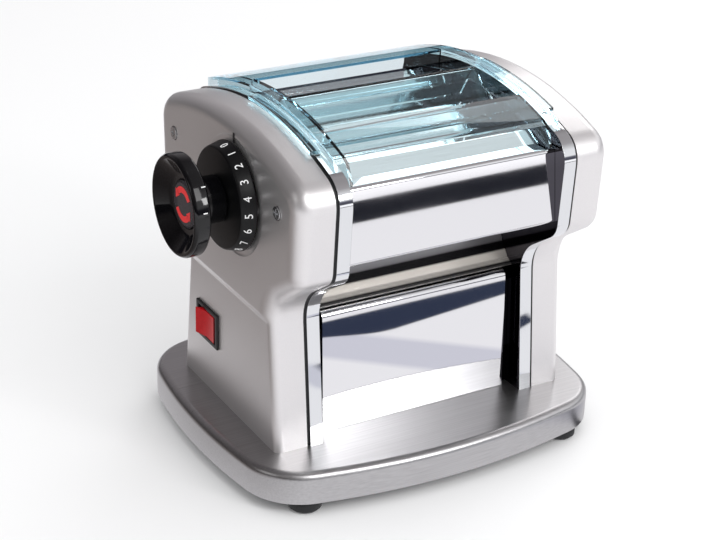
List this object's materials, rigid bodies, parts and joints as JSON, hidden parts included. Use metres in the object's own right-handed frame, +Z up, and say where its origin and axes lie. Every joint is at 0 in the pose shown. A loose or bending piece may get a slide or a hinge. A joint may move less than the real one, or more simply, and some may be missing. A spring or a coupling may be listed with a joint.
{
  "type": "electric pasta maker",
  "caption": "Electric pasta maker with two press rollers, cutter rolls, a numbered thickness knob, a rocker switch and a clear lift-off guard over a chrome and silver body.",
  "frame": {"origin": "centre of the bounding box in X and Y, at the underside of the feet", "axes": "+X from the knob side to the plain side, +Y from the front to the back, +Z up"},
  "size_m": [0.275, 0.216, 0.2321],
  "materials": {
    "base_steel": "brushed stainless steel",
    "dark_sheet": "black powder-coated sheet",
    "foot_rubber": "moulded black rubber",
    "screw_steel": "zinc-plated steel",
    "chrome_frame": "polished chrome plate",
    "seal_rubber": "black rubber",
    "housing_silver": "satin silver paint",
    "turned_steel": "turned steel",
    "panel_chrome": "mirror-polished chrome",
    "sheet_steel": "bright sheet steel",
    "roller_steel": "ground and plated steel",
    "bearing_bronze": "machined bronze",
    "knob_black": "gloss black plastic",
    "hub_grey": "dark grey plastic",
    "gear_steel": "hobbed steel",
    "gear_nylon": "moulded nylon",
    "case_aluminium": "die-cast aluminium",
    "motor_zinc": "grey motor body",
    "armature_copper": "wound copper and steel",
    "switch_black": "black moulding",
    "rocker_red": "clear red plastic",
    "guard_clear": "clear blue-tinted plastic"
  },
  "bodies": {
    "chassis": {"base_plate": "base_steel", "bottom_cover": "dark_sheet", "feet": "foot_rubber", "foot_screws": "screw_steel", "cord_gland": "foot_rubber", "side_frame_left": "chrome_frame", "side_frame_right": "chrome_frame", "side_seals": "seal_rubber", "housing_left": "housing_silver", "housing_right": "housing_silver", "housing_screws": "screw_steel", "housing_standoffs": "turned_steel", "frame_screws": "screw_steel", "tie_rods": "turned_steel", "top_panel_front": "panel_chrome", "top_panel_rear": "panel_chrome", "lower_panel_front": "panel_chrome", "lower_panel_rear": "panel_chrome", "outlet_chute_front": "sheet_steel", "outlet_chute_rear": "sheet_steel", "feed_plate_front": "sheet_steel", "feed_plate_centre": "sheet_steel", "feed_plate_rear": "sheet_steel", "roller_bushes": "bearing_bronze", "slider_retainers": "sheet_steel", "retainer_screws": "screw_steel", "detent_plunger": "turned_steel", "cutter_combs": "bearing_bronze", "gear_axles": "turned_steel", "gearbox_case": "case_aluminium", "motor_stator": "motor_zinc", "switch_body": "switch_black"},
    "cam_body": {"cam_shaft": "turned_steel", "cams": "turned_steel", "knob_screw": "screw_steel", "knob_spring": "screw_steel"},
    "knob_body": {"number_dial": "knob_black", "knob": "knob_black", "hub_cap": "hub_grey"},
    "slider_body": {"slider_left": "bearing_bronze", "slider_right": "bearing_bronze"},
    "moving_roller": {"press_roller_moving": "roller_steel", "press_gear_moving": "gear_steel"},
    "fixed_roller": {"press_roller_fixed": "roller_steel", "press_gear_fixed": "gear_steel", "press_drive_gear": "gear_steel"},
    "front_cutter": {"cutter_roll_front": "roller_steel", "cutter_gear_front": "gear_steel", "cutter_drive_gear": "gear_steel"},
    "rear_cutter": {"cutter_roll_rear": "roller_steel", "cutter_gear_rear": "gear_steel"},
    "press_idler": {"idler_press": "gear_nylon"},
    "cutter_idler": {"idler_cutter": "gear_nylon"},
    "output": {"output_shaft": "turned_steel", "output_wheel": "gear_steel"},
    "reduction": {"reduction_gear": "gear_nylon"},
    "rotor": {"motor_rotor": "armature_copper"},
    "rocker": {"switch_rocker": "rocker_red"},
    "guard": {"safety_guard": "guard_clear"}
  },
  "joints": [
    {"name": "thickness_turn", "type": "hinge", "parent": "chassis", "child": "cam_body", "pos_m": [0.009, -0.014, 0.18], "axis": [-1, 0, 0], "range_deg": [0, 162]},
    {"name": "roller_gap", "type": "slide", "parent": "chassis", "child": "slider_body", "axis": [0, -1, 0], "range_m": [0, 0.0025]},
    {"name": "knob_pull", "type": "slide", "parent": "cam_body", "child": "knob_body", "axis": [-1, 0, 0], "range_m": [0, 0.005], "stiffness_N_per_m": 600, "springref_m": -0.002, "deforming": ["knob_spring"]},
    {"name": "motor_spin", "type": "hinge", "parent": "chassis", "child": "rotor", "pos_m": [0.009, -0.003, 0.062], "axis": [1, 0, 0], "continuous": true},
    {"name": "reduction_spin", "type": "hinge", "parent": "chassis", "child": "reduction", "pos_m": [0.009, 0.01475, 0.08619], "axis": [1, 0, 0], "continuous": true},
    {"name": "output_spin", "type": "hinge", "parent": "chassis", "child": "output", "pos_m": [0.009, -0.005, 0.112], "axis": [1, 0, 0], "continuous": true},
    {"name": "press_idler_spin", "type": "hinge", "parent": "chassis", "child": "press_idler", "pos_m": [0.009, -0.03231, 0.12442], "axis": [1, 0, 0], "continuous": true},
    {"name": "cutter_idler_spin", "type": "hinge", "parent": "chassis", "child": "cutter_idler", "pos_m": [0.009, 0.01425, 0.13501], "axis": [1, 0, 0], "continuous": true},
    {"name": "fixed_roller_spin", "type": "hinge", "parent": "chassis", "child": "fixed_roller", "pos_m": [0.009, -0.049, 0.158], "axis": [1, 0, 0], "continuous": true},
    {"name": "moving_roller_spin", "type": "hinge", "parent": "slider_body", "child": "moving_roller", "pos_m": [0.009, -0.018, 0.158], "axis": [1, 0, 0], "continuous": true},
    {"name": "front_cutter_spin", "type": "hinge", "parent": "chassis", "child": "front_cutter", "pos_m": [0.009, 0.015, 0.165], "axis": [1, 0, 0], "continuous": true},
    {"name": "rear_cutter_spin", "type": "hinge", "parent": "chassis", "child": "rear_cutter", "pos_m": [0.009, 0.0375, 0.165], "axis": [1, 0, 0], "continuous": true},
    {"name": "switch_rock", "type": "hinge", "parent": "chassis", "child": "rocker", "pos_m": [-0.0939, 0.0277, 0.075], "axis": [0, 0, 1], "range_deg": [0, 16]},
    {"name": "guard_lift", "type": "slide", "parent": "chassis", "child": "guard", "axis": [0, 0, 1], "range_m": [0, 0.07]}
  ],
  "couplings": [
    {"joint": "roller_gap", "follows": "thickness_turn", "m_per_rad": 0.00088419},
    {"joint": "reduction_spin", "follows": "motor_spin", "ratio": -0.25},
    {"joint": "output_spin", "follows": "motor_spin", "ratio": 0.075},
    {"joint": "press_idler_spin", "follows": "motor_spin", "ratio": -0.075},
    {"joint": "cutter_idler_spin", "follows": "motor_spin", "ratio": -0.075},
    {"joint": "fixed_roller_spin", "follows": "motor_spin", "ratio": 0.05},
    {"joint": "moving_roller_spin", "follows": "motor_spin", "ratio": -0.05},
    {"joint": "front_cutter_spin", "follows": "motor_spin", "ratio": 0.075},
    {"joint": "rear_cutter_spin", "follows": "motor_spin", "ratio": -0.075}
  ]
}
